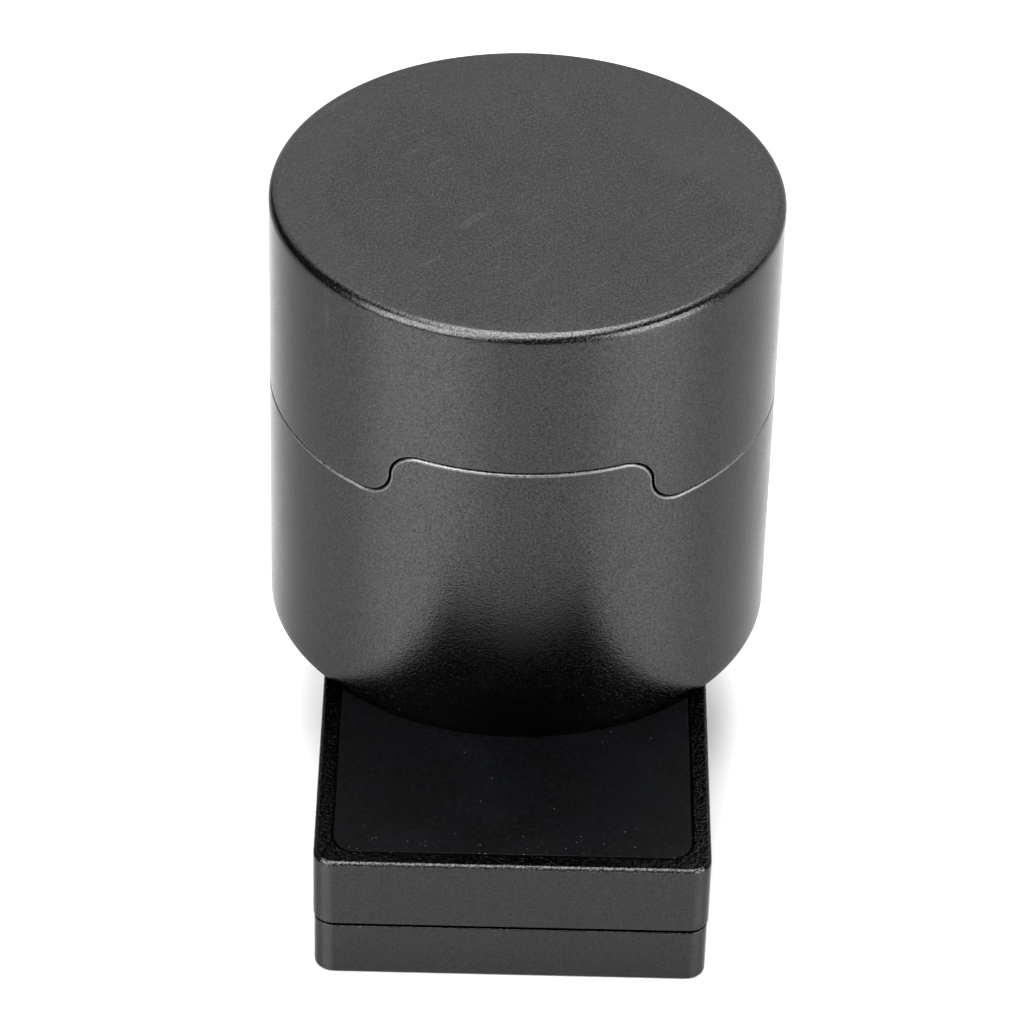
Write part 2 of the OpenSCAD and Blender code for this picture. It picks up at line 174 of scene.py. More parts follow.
class StudioSettings(bpy.types.PropertyGroup):
    """Camera and light"""

    azimuth: FloatProperty(name="Azimuth", description="Camera's turn round the object", default=math.radians(-0.5), subtype="ANGLE")
    elevation: FloatProperty(name="Elevation", description="Camera above the horizon", default=math.radians(36.75), subtype="ANGLE")
    roll: FloatProperty(name="Roll", description="Camera's turn round its own axis", default=math.radians(1.65), subtype="ANGLE")
    distance: length("Distance", "Camera from the point it turns round", 504.8 * MM)
    aim_height: length("Aim height", "Height of the point the camera turns round", 30 * MM)
    lens: FloatProperty(name="Lens", description="Focal length", default=177.37, unit="CAMERA")
    shift_x: FloatProperty(name="Shift X", description="Sideways shift of the frame", default=-0.0081)
    shift_y: FloatProperty(name="Shift Y", description="Upward shift of the frame", default=-0.0569)
    floor_size: length("Floor size", "Side of the square floor", 8.0)
    floor: tint("Floor", "Colour of the floor", (0.52, 0.52, 0.52))
    sky: FloatProperty(name="Sky", description="Strength of the surrounding light", default=0.1, min=0)
    overhead: PointerProperty(type=PanelSettings)
    left: PointerProperty(type=PanelSettings)
    right: PointerProperty(type=PanelSettings)
    back: PointerProperty(type=PanelSettings)


class SurveyPrismSettings(bpy.types.PropertyGroup):
    """Everything that can be set on the survey prism"""

    canister: PointerProperty(type=CanisterSizes)
    foot: PointerProperty(type=FootSizes)
    prism: PointerProperty(type=PrismSizes)
    finish: PointerProperty(type=Finishes)
    studio: PointerProperty(type=StudioSettings)


# ---------- mesh tools ----------


def arc(centre, radius, start, stop, count):
    """Points of (radius, height) along an arc, with its angles in degrees."""
    turns = [math.radians(start + (stop - start) * i / count) for i in range(count + 1)]
    return [(centre[0] + radius * math.cos(a), centre[1] + radius * math.sin(a)) for a in turns]


def spun(profile, steps):
    """A closed body of revolution whose profile starts and ends on the axis, or closes on itself."""
    bm = bmesh.new()
    verts = [bm.verts.new((r, 0, z)) for r, z in profile]
    chain = list(zip(verts, verts[1:]))
    if profile[0][0] > 0:
        chain.append((verts[-1], verts[0]))
    edges = [bm.edges.new(pair) for pair in chain]
    bmesh.ops.spin(
        bm, geom=verts + edges, cent=(0, 0, 0), axis=UP, angle=FULL_TURN, steps=steps, use_merge=True
    )
    bmesh.ops.remove_doubles(bm, verts=bm.verts, dist=1e-7)
    bmesh.ops.recalc_face_normals(bm, faces=bm.faces)
    return bm


def plate(low, high, corner, edge):
    """A slab between two corners, with round upright corners and a rounded upper edge."""
    bm = bmesh.new()
    bmesh.ops.create_cube(bm, size=1)
    bmesh.ops.scale(bm, vec=high - low, verts=bm.verts)
    bmesh.ops.translate(bm, vec=(high + low) / 2, verts=bm.verts)
    upright = [e for e in bm.edges if abs((e.verts[0].co - e.verts[1].co).normalized().z) > 0.9]
    bmesh.ops.bevel(
        bm, geom=upright, offset=corner, affect="EDGES", segments=12, profile=0.5, material=-1
    )
    rim = [e for e in bm.edges if all(abs(v.co.z - high.z) < 1e-7 for v in e.verts)]
    rounded(bm, rim, edge, 3)
    return bm


def edge_layer(bm):
    """The face layer that says where a surface is an edge that rubs."""
    return bm.faces.layers.float.get("edge") or bm.faces.layers.float.new("edge")


def rounded(bm, edges, offset, segments, rubs=0.0):
    """Rounds edges. The new faces are marked with how much they rub."""
    layer = edge_layer(bm)
    made = bmesh.ops.bevel(
        bm, geom=edges, offset=offset, affect="EDGES", segments=segments, profile=0.5, material=-1,
        clamp_overlap=True,
    )
    for face in made["faces"]:
        face[layer] = rubs


def mark_edges(bm, test):
    """Marks the faces whose centre passes a test as edges that rub."""
    layer = edge_layer(bm)
    for face in bm.faces:
        if test(face.calc_center_median()):
            face[layer] = 1


def merged_copy(node):
    """A node's mesh as one connected bmesh with its flat faces joined."""
    bm = bmesh.new()
    bm.from_mesh(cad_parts[node].data)
    bmesh.ops.remove_doubles(bm, verts=bm.verts, dist=2e-6)
    bmesh.ops.dissolve_limit(bm, angle_limit=math.radians(0.4), verts=bm.verts, edges=bm.edges)
    return bm


def sharp_edges(bm, angle=40):
    """Edges where two faces meet at more than an angle, in degrees, on the outside of the body."""
    limit = math.radians(angle)
    return [e for e in bm.edges if len(e.link_faces) == 2 and e.calc_face_angle_signed(0) > limit]


def piece(bm, name, material, body, nodes, second=None):
    """Makes a finished piece of a bmesh, rides it on its body and lets it stand for its nodes."""
    mesh = bpy.data.meshes.new(name)
    bm.to_mesh(mesh)
    bm.free()
    mesh.shade_smooth()
    mesh.set_sharp_from_angle(angle=math.radians(35))
    mesh.materials.append(material)
    if second:
        mesh.materials.append(second)
    made = bpy.data.objects.new(name, mesh)
    bpy.context.scene.collection.objects.link(made)
    normals = made.modifiers.new("Even shading", "WEIGHTED_NORMAL")
    normals.keep_sharp = True
    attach(made, body)
    if nodes:
        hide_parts(*nodes)
    return made


def dress(node, material):
    """Gives a node that keeps its own shape a better finish."""
    mesh_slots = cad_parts[node].material_slots
    for mesh_slot in mesh_slots:
        mesh_slot.material = material


# ---------- the stepped seam ----------


class Seam:
    """The line between cap and can, unrolled onto the can's outside.

    It runs level along the tongue's top, down an S of two equal arcs, and level along the seam.
    A quarter of it is laid out from the middle of the tongue to the side, and mirrored round.
    """

    def __init__(self, radius, low, high, tongue_half):
        self.radius = radius
        self.low = low
        self.high = high
        bend = (high - low) / 2
        bends = [math.radians(3 * i) for i in range(31)]
        upper = [
            (tongue_half - bend + bend * math.sin(a), high - bend + bend * math.cos(a), math.sin(a), math.cos(a))
            for a in bends
        ]
        lower = [
            (tongue_half + bend - bend * math.cos(a), high - bend - bend * math.sin(a), math.cos(a), math.sin(a))
            for a in bends
        ]
        outline = [(0, high, 0, 1)] + upper + lower[1:] + [(radius, low, 0, 1)]
        self.stops = [self.unrolled(*point) for point in outline]
        self.run = [0]
        for a, b in zip(self.stops, self.stops[1:]):
            self.run.append(self.run[-1] + math.hypot(b[0] - a[0], b[1] - a[1]))

    def unrolled(self, across, height, normal_x, normal_z):
        """A point and its normal, moved from the front view to the unrolled wall."""
        azimuth = math.asin(min(across / self.radius, 1))
        along = normal_x * math.cos(azimuth)
        size = math.hypot(along, normal_z)
        return (self.radius * azimuth, height, along / size, normal_z / size)

    def at(self, turn):
        """Distance along the wall, height and upward normal at a share of the full turn."""
        quarter, within = divmod(turn * 4, 1)
        back = int(quarter) % 2 == 1
        travel = (1 - within if back else within) * self.run[-1]
        i = min(max(bisect_right(self.run, travel) - 1, 0), len(self.stops) - 2)
        span = self.run[i + 1] - self.run[i]
        mix = (travel - self.run[i]) / span if span else 0
        along, height, normal_u, normal_z = (a + (b - a) * mix for a, b in zip(self.stops[i], self.stops[i + 1]))
        start = self.radius * HALF_TURN * ((int(quarter) + 1) // 2)
        sign = -1 if back else 1
        return start + sign * along, height, sign * normal_u, normal_z

    def bend_rows(self, bm, edge_height, side, gap, rim_band, blend_band):
        """Moves the rows of an upright wall so that its rim follows the seam.

        The rim lies at edge_height before, side is 1 for the wall above the seam and -1 below it.
        """
        for vert in bm.verts:
            out = math.hypot(vert.co.x, vert.co.y)
            away = side * (vert.co.z - edge_height)
            if out < self.radius / 2 or away > blend_band:
                continue
            turn = (math.atan2(vert.co.x, -vert.co.y) / FULL_TURN) % 1
            along, height, normal_u, normal_z = self.at(turn)
            near = gap + min(away, rim_band)
            along += side * normal_u * near
            height += side * (normal_z * near + max(away - rim_band, 0))
            level = self.radius * FULL_TURN * turn
            mix = min(max((away - rim_band) / (blend_band - rim_band), 0), 1)
            mix = mix * mix * (3 - 2 * mix)
            azimuth = (along + (level - along) * mix) / self.radius
            vert.co.x = out * math.sin(azimuth)
            vert.co.y = -out * math.cos(azimuth)
            vert.co.z = height + (edge_height + side * (away + gap) - height) * mix


def wall_rows(start, stop, fine, step):
    """Heights from start to stop, close together near start."""
    sign = 1 if stop > start else -1
    rows = [start + sign * fine * k for k in (1, 2, 4)]
    count = max(int(abs(stop - rows[-1]) / step), 1)
    return rows + [rows[-1] + (stop - rows[-1]) * i / count for i in range(1, count)]


# ---------- shader tools ----------


def place(tree, kind, links=None, **attributes):
    """Adds a shader node; links maps its inputs to plain values or to other nodes' outputs."""
    node = tree.nodes.new(kind)
    for name, value in attributes.items():
        setattr(node, name, value)
    for key, value in (links or {}).items():
        if isinstance(value, bpy.types.NodeSocket):
            tree.links.new(value, node.inputs[key])
        else:
            node.inputs[key].default_value = value
    return node


def math_node(tree, operation, a, b=0.0):
    """The result of a Math node."""
    return place(tree, "ShaderNodeMath", {0: a, 1: b}, operation=operation).outputs[0]


def ramp(tree, value, low, high):
    """Maps a value smoothly to 0 at low and 1 at high."""
    node = place(
        tree, "ShaderNodeMapRange", {"Value": value, "From Min": low, "From Max": high},
        interpolation_type="SMOOTHSTEP",
    )
    return node.outputs["Result"]


def blend_colour(tree, factor, a, b, mode="MIX"):
    """The colour between a and b at a factor."""
    node = place(tree, "ShaderNodeMix", data_type="RGBA", blend_type=mode)
    for index, value in ((0, factor), (6, a), (7, b)):
        if isinstance(value, bpy.types.NodeSocket):
            tree.links.new(value, node.inputs[index])
        elif index == 0:
            node.inputs[index].default_value = value
        else:
            node.inputs[index].default_value = (*value, 1)
    return node.outputs[2]


def blend_number(tree, factor, a, b):
    """The number between a and b at a factor."""
    return place(tree, "ShaderNodeMix", {0: factor, 2: a, 3: b}, data_type="FLOAT").outputs[0]


def shader_group(name, inputs, outputs):
    """A new shader node group with float inputs and outputs. Gives the tree, its input and its output node."""
    tree = bpy.data.node_groups.new(name, "ShaderNodeTree")
    for label, default in inputs.items():
        socket = tree.interface.new_socket(name=label, in_out="INPUT", socket_type="NodeSocketFloat")
        socket.default_value = default
    for label in outputs:
        tree.interface.new_socket(name=label, in_out="OUTPUT", socket_type="NodeSocketFloat")
    return tree, tree.nodes.new("NodeGroupInput").outputs, tree.nodes.new("NodeGroupOutput").inputs


def object_coordinates(tree):
    """Object coordinates, in metres."""
    return place(tree, "ShaderNodeTexCoord").outputs["Object"]


def noise(tree, vector, seed, scale, detail, roughness):
    """A noise from 0 to 1, whose seed shifts it."""
    node = place(
        tree, "ShaderNodeTexNoise",
        {"Vector": vector, "W": seed, "Scale": scale, "Detail": detail, "Roughness": roughness},
        noise_dimensions="4D",
    )
    return node.outputs["Fac"]


def build_grain_group():
    """Grain: fine speckle, sparse pits and slow blotches of a blasted or moulded surface."""
    tree, given, out = shader_group("Grain", {"Size": 0.17 * MM, "Seed": 0.0}, ("Speckle", "Pits", "Blotch"))
    coordinates = object_coordinates(tree)
    scale = math_node(tree, "DIVIDE", 1.0, given["Size"])
    fine = noise(tree, coordinates, given["Seed"], scale, 2.0, 0.6)
    pits = noise(tree, coordinates, math_node(tree, "ADD", given["Seed"], 31.0), scale, 0.0, 0.5)
    broad = noise(tree, coordinates, given["Seed"], 140.0, 3.0, 0.55)
    tree.links.new(ramp(tree, fine, 0.28, 0.72), out["Speckle"])
    tree.links.new(ramp(tree, pits, 0.64, 0.74), out["Pits"])
    tree.links.new(ramp(tree, broad, 0.3, 0.7), out["Blotch"])
    return tree


def build_wear_group():
    """Wear: where an edge has rubbed, and where a surface has been scuffed."""
    tree, given, out = shader_group("Wear", {"Edge": 1.0, "Scuffs": 0.0, "Seed": 0.0}, ("Worn", "Broken", "Scuff"))
    coordinates = object_coordinates(tree)
    edge = place(tree, "ShaderNodeAttribute", attribute_name="edge").outputs["Fac"]
    chips = noise(tree, coordinates, given["Seed"], 4500.0, 2.0, 0.6)
    worn = math_node(tree, "MULTIPLY", edge, ramp(tree, chips, 0.2, 0.56))
    tree.links.new(math_node(tree, "MULTIPLY", worn, given["Edge"]), out["Worn"])
    broken = math_node(tree, "MULTIPLY", ramp(tree, edge, 0.0, 0.2), ramp(tree, chips, 0.59, 0.47))
    tree.links.new(broken, out["Broken"])
    turned = place(
        tree, "ShaderNodeMapping",
        {"Vector": coordinates, "Rotation": (0, 0, math.radians(50)), "Scale": (14 * MM, 1.7 * MM, 14 * MM)},
        vector_type="TEXTURE",
    ).outputs["Vector"]
    strokes = noise(tree, turned, given["Seed"], 1.0, 2.0, 0.5)
    patches = noise(tree, coordinates, given["Seed"], 45.0, 1.0, 0.5)
    scuff = math_node(tree, "MULTIPLY", ramp(tree, strokes, 0.58, 0.8), ramp(tree, patches, 0.5, 0.66))
    tree.links.new(math_node(tree, "MULTIPLY", scuff, given["Scuffs"]), out["Scuff"])
    return tree


def build_dust_group():
    """Dust: scattered specks in drifts, and the thin film that lies between them."""
    values = {"Spacing": 0.6 * MM, "Size": 0.2, "Amount": 0.3, "Seed": 0.0}
    tree, given, out = shader_group("Dust", values, ("Specks", "Film"))
    coordinates = object_coordinates(tree)
    scale = math_node(tree, "DIVIDE", 1.0, given["Spacing"])
    cells = place(tree, "ShaderNodeTexVoronoi", {"Vector": coordinates, "Scale": scale})
    spread = place(
        tree, "ShaderNodeTexWhiteNoise", {"Vector": cells.outputs["Color"], "W": given["Seed"]},
        noise_dimensions="4D",
    ).outputs["Value"]
    drift = noise(tree, coordinates, given["Seed"], 170.0, 3.0, 0.5)
    kept = math_node(tree, "LESS_THAN", spread, math_node(tree, "MULTIPLY", given["Amount"], drift))
    near = math_node(tree, "SUBTRACT", given["Size"], cells.outputs["Distance"])
    inside = ramp(tree, near, 0.0, math_node(tree, "MULTIPLY", given["Size"], 0.7))
    tree.links.new(math_node(tree, "MULTIPLY", kept, inside), out["Specks"])
    tree.links.new(ramp(tree, drift, 0.45, 0.75), out["Film"])
    return tree


GROUP_BUILDERS = {"Grain": build_grain_group, "Wear": build_wear_group, "Dust": build_dust_group}


def effect(tree, name, **values):
    """Places a shared effect in a material with its own values and gives its outputs."""
    shared = bpy.data.node_groups.get(name) or GROUP_BUILDERS[name]()
    node = place(tree, "ShaderNodeGroup", node_tree=shared)
    for label, value in values.items():
        node.inputs[label.replace("_", " ")].default_value = value
    return node.outputs


def new_material(name, roughness, metallic=0.0, **values):
    """A material and its shader, with the shader's constant values set."""
    material = bpy.data.materials.new(name)
    material.use_nodes = True
    tree = material.node_tree
    shader = tree.nodes["Principled BSDF"]
    shader.inputs["Roughness"].default_value = roughness
    shader.inputs["Metallic"].default_value = metallic
    for label, value in values.items():
        shader.inputs[label.replace("_", " ")].default_value = value
    return material, tree, shader


def bump(tree, shader, height, distance):
    """Feeds a height to the shader's normal."""
    node = place(tree, "ShaderNodeBump", {"Height": height, "Distance": distance, "Strength": 1.0})
    tree.links.new(node.outputs["Normal"], shader.inputs["Normal"])


def blasted_metal(
    name, colour, finish, seed, contrast=1.0, depth=1.0, edge=0.3, breaks=0.0, coarse=0.0, scuffs=0.2, nicks=0.0,
    fine=1.0,
):
    """Blasted and anodised aluminium: grained, slightly uneven, rubbed on its edges."""
    material, tree, shader = new_material(
        name, finish.anodised_roughness, metallic=1.0, Specular_Tint=(*finish.grazing, 1)
    )
    grain = effect(tree, "Grain", Size=fine * finish.grain, Seed=seed)
    wear = effect(tree, "Wear", Edge=edge, Scuffs=scuffs, Seed=seed)
    chips = effect(tree, "Dust", Spacing=14 * MM, Size=0.05, Amount=nicks, Seed=seed)
    swing = finish.grain_contrast * contrast
    toned = blend_colour(
        tree, grain["Speckle"], [c * (1 - swing) for c in colour], [c * (1 + swing) for c in colour]
    )
    pitted = blend_colour(
        tree, math_node(tree, "MULTIPLY", grain["Pits"], 0.4 * contrast), toned, [0.3 * c for c in colour]
    )
    pitted = blend_colour(
        tree, math_node(tree, "MULTIPLY", wear["Broken"], breaks), pitted, [0.1 * c for c in colour]
    )
    scuffed = blend_colour(
        tree, math_node(tree, "MULTIPLY", wear["Scuff"], 0.5), pitted, [2.4 * c for c in colour]
    )
    nicked = blend_colour(tree, chips["Specks"], scuffed, [2.6 * c for c in colour])
    rubbed = blend_colour(tree, wear["Worn"], nicked, list(finish.bare))
    tree.links.new(rubbed, shader.inputs["Base Color"])
    rough = math_node(
        tree, "ADD", finish.anodised_roughness - 0.02, math_node(tree, "MULTIPLY", grain["Blotch"], 0.04)
    )
    tree.links.new(blend_number(tree, wear["Worn"], rough, 0.6), shader.inputs["Roughness"])
    edge_faces = place(tree, "ShaderNodeAttribute", attribute_name="edge").outputs["Fac"]
    height = math_node(tree, "SUBTRACT", grain["Speckle"], grain["Pits"])
    coarser = math_node(tree, "MULTIPLY_ADD", edge_faces, coarse)
    coarser.node.inputs[2].default_value = 1.0
    bump(tree, shader, math_node(tree, "MULTIPLY", height, coarser), depth * finish.grain_depth)
    return material


def rubber(name, colour, finish, dust, gloss=0.2, swept=False):
    """Moulded rubber with a fine texture and dust, which is swept towards the front if asked."""
    material, tree, shader = new_material(name, 0.5, Specular_IOR_Level=gloss)
    grain = effect(tree, "Grain", Size=0.15 * MM, Seed=3.0)
    specks = effect(tree, "Dust", Spacing=0.5 * MM, Size=0.18, Amount=dust)
    if swept:
        along = place(tree, "ShaderNodeSeparateXYZ", {0: object_coordinates(tree)}).outputs["Y"]
        front = INLAY_BOX[0].y
        lying = blend_number(tree, ramp(tree, along, front + 5 * MM, front), 0.05 * dust, dust)
        tree.links.new(lying, specks["Specks"].node.inputs["Amount"])
    mottle = effect(tree, "Grain", Size=0.5 * MM, Seed=12.0)["Speckle"]
    toned = blend_colour(tree, grain["Blotch"], [0.75 * c for c in colour], [1.25 * c for c in colour])
    film = math_node(tree, "MULTIPLY_ADD", specks["Film"], 0.004)
    tree.links.new(math_node(tree, "MULTIPLY", ramp(tree, mottle, 0.4, 0.9), 0.005), film.node.inputs[2])
    filmed = blend_colour(tree, film, toned, list(finish.dust))
    dusted = blend_colour(tree, math_node(tree, "MULTIPLY", specks["Specks"], 0.25), filmed, list(finish.dust))
    tree.links.new(dusted, shader.inputs["Base Color"])
    bump(tree, shader, grain["Speckle"], 0.003 * MM)
    return material


def turned_metal(name, colour, finish, roughness, edge=0.6):
    """Steel with faint machining marks and rubbed edges."""
    material, tree, shader = new_material(name, roughness, metallic=1.0)
    grain = effect(tree, "Grain", Size=0.3 * MM, Seed=7.0)
    wear = effect(tree, "Wear", Edge=edge, Scuffs=0.4)
    toned = blend_colour(tree, grain["Speckle"], [0.9 * c for c in colour], [1.1 * c for c in colour])
    rubbed = blend_colour(tree, wear["Worn"], toned, [min(1.5 * c, 1) for c in colour])
    tree.links.new(rubbed, shader.inputs["Base Color"])
    rough = math_node(tree, "ADD", roughness - 0.05, math_node(tree, "MULTIPLY", grain["Blotch"], 0.12))
    tree.links.new(rough, shader.inputs["Roughness"])
    bump(tree, shader, grain["Speckle"], 0.002 * MM)
    return material


def foam(name, colour):
    """Closed-cell foam with open pores in its skin."""
    material, tree, shader = new_material(name, 0.9)
    grain = effect(tree, "Grain", Size=0.5 * MM, Seed=5.0)
    toned = blend_colour(tree, grain["Speckle"], [0.4 * c for c in colour], [1.6 * c for c in colour])
    tree.links.new(toned, shader.inputs["Base Color"])
    bump(tree, shader, grain["Speckle"], 0.1 * MM)
    return material


def moulded(name, colour, roughness):
    """Plain moulded plastic or film with a faint texture."""
    material, tree, shader = new_material(name, roughness)
    grain = effect(tree, "Grain", Size=0.2 * MM, Seed=9.0)
    toned = blend_colour(tree, grain["Blotch"], [0.85 * c for c in colour], [1.15 * c for c in colour])
    tree.links.new(toned, shader.inputs["Base Color"])
    bump(tree, shader, grain["Speckle"], 0.004 * MM)
    return material


def clear_glass(name):
    """Optical glass with a faint bloom of dust on its front."""
    material, tree, shader = new_material(name, 0.01, IOR=1.517, Transmission_Weight=1.0)
    specks = effect(tree, "Dust", Spacing=1.6 * MM, Size=0.05, Amount=0.12)
    tone = blend_colour(tree, specks["Specks"], (0.97, 0.99, 0.985), (0.75, 0.77, 0.77))
    tree.links.new(tone, shader.inputs["Base Color"])
    return material


def silvered(name, colour):
    """Silver behind the facets."""
    material, tree, shader = new_material(name, 0.03, metallic=1.0)
    grain = effect(tree, "Grain", Size=2 * MM, Seed=11.0)
    toned = blend_colour(tree, grain["Blotch"], [0.97 * c for c in colour], colour)
    tree.links.new(toned, shader.inputs["Base Color"])
    return material


def finish_of(name):
    """A material by name, built the first time it is asked for."""
    finish = bpy.context.scene.survey_prism.finish
    builders = {
        "cap metal": lambda: blasted_metal("cap metal", list(finish.anodised), finish, 1.0, scuffs=1.0, nicks=0.5),
        "can metal": lambda: blasted_metal("can metal", list(finish.anodised), finish, 2.0, edge=0.6, breaks=0.2, scuffs=0.0),
        # The foot's metal is painted at 0.84 of the casing's tone; this darker tone also stands in for the shade near
        # the floor.
        "foot metal": lambda: blasted_metal(
            "foot metal", [0.84 * c for c in finish.anodised], finish, 4.0, contrast=0.6, edge=0.5, breaks=0.9,
            coarse=5.0, nicks=0.3,
        ),
        # Painted shade: the casing's metal painted darker, for the foot's top border and its left and right top edges.
        "painted shade border metal": lambda: blasted_metal(
            "painted shade border metal", [finish.border * c for c in finish.anodised], finish, 8.0, contrast=2.6, depth=3.0, edge=0.1,
            breaks=0.5, fine=1.5,
        ),
        "black metal": lambda: blasted_metal("black metal", list(finish.black), finish, 6.0),
        "inlay rubber": lambda: rubber("inlay rubber", list(finish.inlay), finish, 0.7, gloss=0.045, swept=True),
        "seal rubber": lambda: rubber("seal rubber", list(finish.rubber), finish, 0.02),
        "foam": lambda: foam("foam", list(finish.foam)),
        "plastic": lambda: moulded("plastic", list(finish.plastic), 0.5),
        "film": lambda: moulded("film", list(finish.film), 0.7),
        "steel": lambda: turned_metal("steel", list(finish.steel), finish, 0.32),
        "plating": lambda: turned_metal("plating", list(finish.plating), finish, 0.2),
        "glass": lambda: clear_glass("glass"),
        "silver": lambda: silvered("silver", list(finish.silver)),
    }
    return bpy.data.materials.get(name) or builders[name]()


# ---------- pieces ----------


def seam_of(sizes):
    """The seam between the cap and the can."""
    low = CAP_BOX[0].z - sizes.seam_gap
    return Seam(CAN_BOX[1].x, low, CAN_BOX[1].z, sizes.tongue_half)


class PRISM_OT_cap(bpy.types.Operator):
    """Builds the cap with its rounded roof edge and its stepped rim"""

    bl_idname = "prism.cap"
    bl_label = "Cap"

    def execute(self, context):
        sizes = context.scene.survey_prism.canister
        seam = seam_of(sizes)
        outer, top = CAP_BOX[1].x, CAP_BOX[1].z
        inner, roof = outer - sizes.wall, LINER_BOX[1].z
        rim, edge = seam.high, sizes.cap_rim
        fillet = 2 * edge
        outside = wall_rows(rim + edge, top - sizes.roof_edge, 0.25 * MM, 0.9 * MM)
        inside = wall_rows(rim + edge, roof - fillet, 0.25 * MM, 0.9 * MM)
        profile = (
            [(0, top)]
            + arc((outer - sizes.roof_edge, top - sizes.roof_edge), sizes.roof_edge, 90, 0, 10)
            + [(outer, z) for z in reversed(outside)]
            + arc((outer - edge, rim + edge), edge, 0, -90, 4)
            + arc((inner + edge, rim + edge), edge, -90, -180, 4)
            + [(inner, z) for z in inside]
            + arc((inner - fillet, roof - fillet), fillet, 0, 90, 4)
            + [(0, roof)]
        )
        bm = spun(profile, sizes.columns)
        mark_edges(bm, lambda c: c.z < rim + 0.9 * edge and math.hypot(c.x, c.y) > outer - edge)
        seam.bend_rows(bm, rim, 1, sizes.seam_gap, sizes.rim_band, sizes.blend_band)
        piece(bm, "cap_casing", finish_of("cap metal"), "cap", ["cap_shell"])
        return {"FINISHED"}


class PRISM_OT_can(bpy.types.Operator):
    """Builds the can with its floor and the tongue that keys the cap"""

    bl_idname = "prism.can"
    bl_label = "Can"

    def execute(self, context):
        sizes = context.scene.survey_prism.canister
        seam = seam_of(sizes)
        outer, bottom = CAN_BOX[1].x, CAN_BOX[0].z
        inner, floor = outer - sizes.wall, CELL_BOX[0].z
        rim, edge, foot = seam.low, sizes.can_rim, sizes.can_foot
        inner_edge = edge / 2
        outside = wall_rows(rim - edge, bottom + foot, 0.25 * MM, 0.9 * MM)
        inside = wall_rows(rim - inner_edge, floor + foot, 0.25 * MM, 0.9 * MM)
        profile = (
            [(0, bottom)]
            + arc((outer - foot, bottom + foot), foot, -90, 0, 4)
            + [(outer, z) for z in reversed(outside)]
            + arc((outer - edge, rim - edge), edge, 0, 90, 6)
            + arc((inner + inner_edge, rim - inner_edge), inner_edge, 90, 180, 4)
            + [(inner, z) for z in inside]
            + [(inner, floor), (0, floor)]
        )
        bm = spun(profile, sizes.columns)
        mark_edges(bm, lambda c: c.z > rim - 0.95 * edge and math.hypot(c.x, c.y) > outer - edge)
        seam.bend_rows(bm, rim, -1, 0, sizes.rim_band, sizes.blend_band)
        piece(bm, "can_casing", finish_of("can metal"), "foot", ["can_shell"])
        return {"FINISHED"}


class PRISM_OT_foot(bpy.types.Operator):
    """Builds the foot's two casings with rounded edges"""

    bl_idname = "prism.foot"
    bl_label = "Foot casings"

    def execute(self, context):
        sizes = context.scene.survey_prism.foot
        top = FOOT_TOP_BOX[1].z
        upper = merged_copy("foot_top_shell")
        rim = self.outline(upper, FOOT_TOP_BOX, top)
        rounded(upper, rim, sizes.top_edge, 5, rubs=0.22)
        recess = [e for e in sharp_edges(upper, 60) if all(abs(v.co.z - top) < 1e-6 for v in e.verts)]
        rounded(upper, recess, sizes.recess_edge, 2)
        side = FOOT_TOP_BOX[1].x
        rim_height = min(v.co.z for v in upper.verts if abs(v.co.x - side) < 1e-6)
        rounded(upper, self.outline(upper, FOOT_TOP_BOX, rim_height), sizes.upper_rim, 2)
        # Painted shade: the top face round the inlay and the left and right top edges take the second, darker material,
        # while the front and back top edges keep the casing's metal.
        for face in upper.faces:
            shaded_deck = face.normal.z > 0.99 and abs(face.calc_center_median().z - top) < 1e-6
            shaded_side_edge = face.calc_center_median().z > top - sizes.top_edge and abs(face.normal.x) > abs(face.normal.y)
            if shaded_deck or shaded_side_edge:
                face.material_index = 1
        piece(
            upper, "foot_upper_casing", finish_of("foot metal"), "foot", ["foot_top_shell"],
            second=finish_of("painted shade border metal"),
        )
        lower = merged_copy("foot_bottom_shell")
        side = FOOT_BOTTOM_BOX[1].x
        rim_height = max(v.co.z for v in lower.verts if abs(v.co.x - side) < 1e-6)
        rounded(lower, self.outline(lower, FOOT_BOTTOM_BOX, rim_height), sizes.lower_rim, 3, rubs=0.1)
        rounded(lower, self.outline(lower, FOOT_BOTTOM_BOX, 0), sizes.ground_edge, 4)
        piece(lower, "foot_lower_casing", finish_of("foot metal"), "foot", ["foot_bottom_shell"])
        return {"FINISHED"}

    def outline(self, bm, box, height):
        """The outermost level edges at a height."""
        found = []
        for edge in sharp_edges(bm, 60):
            level = all(abs(v.co.z - height) < 1e-6 for v in edge.verts)
            outward = any(
                abs(f.normal.z) < 0.1 and f.normal.dot(Vector((*f.calc_center_median().xy, 0))) > 0
                for f in edge.link_faces
            )
            middle = (edge.verts[0].co + edge.verts[1].co) / 2
            outer = abs(middle.x) > box[1].x - 2.1 * MM or abs(middle.y) > box[1].y - 2.1 * MM
            if level and outward and outer and self.is_rim(middle, box):
                found.append(edge)
        return found

    def is_rim(self, point, box):
        """True on the casing's own outline and not on a recess inside it."""
        return abs(point.x) > box[1].x - 0.7 * MM or abs(point.y) > box[1].y - 0.7 * MM


class PRISM_OT_inlay(bpy.types.Operator):
    """Builds the rubber pad that is let into the foot's top"""

    bl_idname = "prism.inlay"
    bl_label = "Inlay"

    def execute(self, context):
        sizes = context.scene.survey_prism.foot
        bm = plate(INLAY_BOX[0], INLAY_BOX[1], sizes.inlay_corner, sizes.inlay_edge)
        piece(bm, "inlay_pad", finish_of("inlay rubber"), "foot", ["foot_inlay"])
        return {"FINISHED"}


